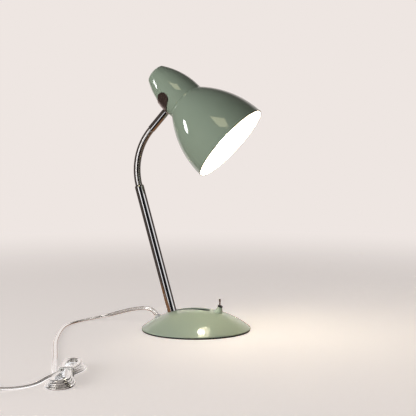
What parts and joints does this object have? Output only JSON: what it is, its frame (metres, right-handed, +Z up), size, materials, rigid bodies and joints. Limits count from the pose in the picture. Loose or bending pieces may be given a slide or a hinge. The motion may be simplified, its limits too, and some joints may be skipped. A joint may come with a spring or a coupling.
{
  "type": "gooseneck desk lamp",
  "caption": "Desk lamp with a bell shade on a ribbed flexible neck, a chrome arm that tilts in a slot of a domed base, a toggle switch and a clear mains lead with plug.",
  "frame": {"origin": "centre of the base's underside, on the surface that the lamp stands on", "axes": "+Z up, +X the way the shade faces"},
  "size_m": [0.2903, 0.5691, 0.386],
  "materials": {
    "base_enamel": "gloss enamel",
    "shade_enamel": "gloss enamel, white inside",
    "pad_rubber": "matt",
    "plated_steel": "zinc plated",
    "chrome": "mirror chrome",
    "black_steel": "black",
    "dark_plastic": "moulded",
    "brass": "bright",
    "bulb_glass": "frosted, lit",
    "core_plastic": "insulated cores",
    "clear_plastic": "clear, silver cores showing",
    "plug_plastic": "clear moulded"
  },
  "bodies": {
    "base": {"base_pad": "pad_rubber", "base_plate": "plated_steel", "base_weight": "plated_steel", "base_dome": "base_enamel", "dome_screws": "plated_steel", "weight_screws": "plated_steel", "bracket_screws": "plated_steel", "pivot_bracket": "plated_steel", "pivot_washers": "plated_steel", "pivot_bolt": "plated_steel", "pivot_nut": "plated_steel", "switch_collar": "base_enamel", "switch_bushing": "chrome", "switch_nut": "black_steel", "switch_body": "dark_plastic", "switch_terminals": "brass", "terminal_block": "dark_plastic", "block_screws": "plated_steel", "base_leads": "core_plastic", "cord_grommet": "clear_plastic", "cord_lead": "clear_plastic", "cord_hank": "clear_plastic", "hank_tie": "clear_plastic", "cord_tail": "clear_plastic", "plug_body": "plug_plastic", "plug_pins": "brass"},
    "lever": {"switch_lever": "chrome"},
    "arm": {"arm_knuckle": "plated_steel", "arm_tube": "chrome", "neck_coupling": "chrome"},
    "neck_1": {"neck_link_1": "chrome"},
    "neck_2": {"neck_link_2": "chrome"},
    "neck_3": {"neck_link_3": "chrome"},
    "neck_4": {"neck_link_4": "chrome"},
    "neck_5": {"neck_link_5": "chrome"},
    "neck_6": {"neck_link_6": "chrome"},
    "neck_7": {"neck_link_7": "chrome"},
    "neck_8": {"neck_link_8": "chrome"},
    "neck_9": {"neck_link_9": "chrome"},
    "head": {"neck_ferrule": "chrome", "saddle": "chrome", "nipple": "plated_steel", "nipple_washer": "plated_steel", "nipple_nut": "plated_steel", "rear_cap": "shade_enamel", "shade": "shade_enamel", "shade_ring": "dark_plastic", "holder_bracket": "plated_steel", "holder_nipple": "plated_steel", "holder_nut": "plated_steel", "holder_body": "dark_plastic", "screw_shell": "brass", "holder_contact": "brass", "bulb_cap": "plated_steel", "bulb_contact": "brass", "bulb_glass": "bulb_glass", "holder_leads": "core_plastic"}
  },
  "joints": [
    {"name": "arm_tilt", "type": "hinge", "parent": "base", "child": "arm", "pos_m": [-0.0338, 0, 0.013], "axis": [0, 1, 0], "range_deg": [-3, 66]},
    {"name": "switch_throw", "type": "hinge", "parent": "base", "child": "lever", "pos_m": [0.03633, 0, 0.03447], "axis": [0, 1, 0], "range_deg": [0, 30]},
    {"name": "neck_bend_1", "type": "hinge", "parent": "arm", "child": "neck_1", "pos_m": [-0.08993, 0, 0.21532], "axis": [0, -1, 0], "range_deg": [-6, 12]},
    {"name": "neck_side_1", "type": "hinge", "parent": "neck_1", "child": "neck_2", "pos_m": [-0.09132, 0, 0.22416], "axis": [0.9944, 0, 0.1056], "range_deg": [-9, 9]},
    {"name": "neck_bend_2", "type": "hinge", "parent": "neck_2", "child": "neck_3", "pos_m": [-0.09182, 0, 0.2331], "axis": [0, -1, 0], "range_deg": [-6, 12]},
    {"name": "neck_side_2", "type": "hinge", "parent": "neck_3", "child": "neck_4", "pos_m": [-0.09143, 0, 0.24204], "axis": [0.9957, 0, -0.0931], "range_deg": [-9, 9]},
    {"name": "neck_bend_3", "type": "hinge", "parent": "neck_4", "child": "neck_5", "pos_m": [-0.09015, 0, 0.2509], "axis": [0, -1, 0], "range_deg": [-6, 12]},
    {"name": "neck_side_3", "type": "hinge", "parent": "neck_5", "child": "neck_6", "pos_m": [-0.08801, 0, 0.25959], "axis": [0.9576, 0, -0.288], "range_deg": [-9, 9]},
    {"name": "neck_bend_4", "type": "hinge", "parent": "neck_6", "child": "neck_7", "pos_m": [-0.08501, 0, 0.26802], "axis": [0, -1, 0], "range_deg": [-6, 12]},
    {"name": "neck_side_4", "type": "hinge", "parent": "neck_7", "child": "neck_8", "pos_m": [-0.08118, 0, 0.27611], "axis": [0.8818, 0, -0.4716], "range_deg": [-9, 9]},
    {"name": "neck_bend_5", "type": "hinge", "parent": "neck_8", "child": "neck_9", "pos_m": [-0.07658, 0, 0.28378], "axis": [0, -1, 0], "range_deg": [-6, 12]},
    {"name": "neck_side_5", "type": "hinge", "parent": "neck_9", "child": "head", "pos_m": [-0.07123, 0, 0.29096], "axis": [0.7712, 0, -0.6366], "range_deg": [-9, 9]}
  ],
  "couplings": [
    {"joint": "neck_bend_2", "follows": "neck_bend_1", "ratio": 1},
    {"joint": "neck_side_2", "follows": "neck_side_1", "ratio": 1},
    {"joint": "neck_bend_3", "follows": "neck_bend_1", "ratio": 1},
    {"joint": "neck_side_3", "follows": "neck_side_1", "ratio": 1},
    {"joint": "neck_bend_4", "follows": "neck_bend_1", "ratio": 1},
    {"joint": "neck_side_4", "follows": "neck_side_1", "ratio": 1},
    {"joint": "neck_bend_5", "follows": "neck_bend_1", "ratio": 1},
    {"joint": "neck_side_5", "follows": "neck_side_1", "ratio": 1}
  ]
}
